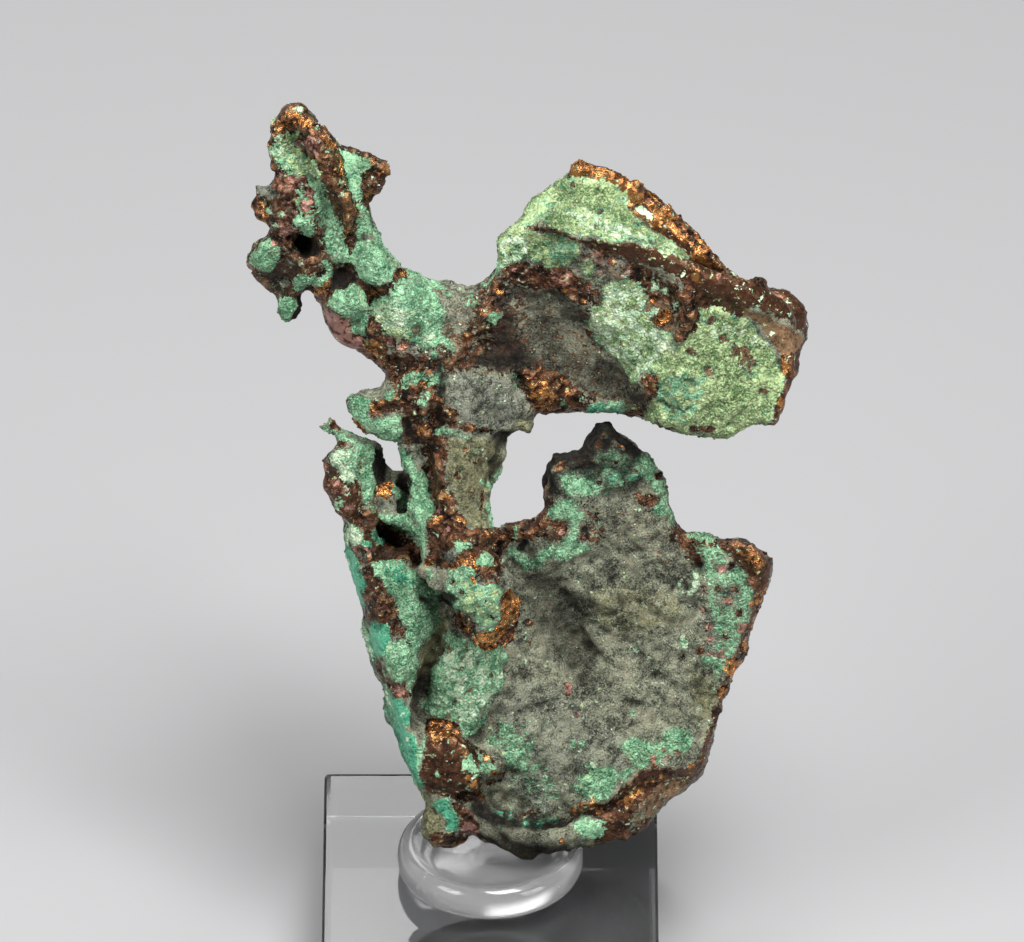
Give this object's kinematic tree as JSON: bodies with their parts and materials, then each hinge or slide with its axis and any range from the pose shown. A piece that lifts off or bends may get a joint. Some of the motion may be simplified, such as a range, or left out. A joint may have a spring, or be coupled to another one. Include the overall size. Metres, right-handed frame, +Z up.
{
  "type": "native copper nugget on a stand",
  "caption": "Branching native copper nugget with a green malachite crust, resting upright in a clear dished disc on a clear square display block.",
  "frame": {"origin": "centre of the underside of the square block", "axes": "+Z up; +X to the right as seen from the front, along the block's front edge; -Y towards the front, the side the nugget's dished face looks to"},
  "size_m": [0.0558, 0.0344, 0.097],
  "materials": {
    "nugget": "native copper, brown to bright on its edges, under a rough green malachite and grey crust",
    "seat": "clear polished acrylic",
    "display_block": "clear, faintly smoky polished acrylic"
  },
  "bodies": {
    "root": {"nugget": "nugget", "seat": "seat", "display_block": "display_block"}
  },
  "joints": []
}
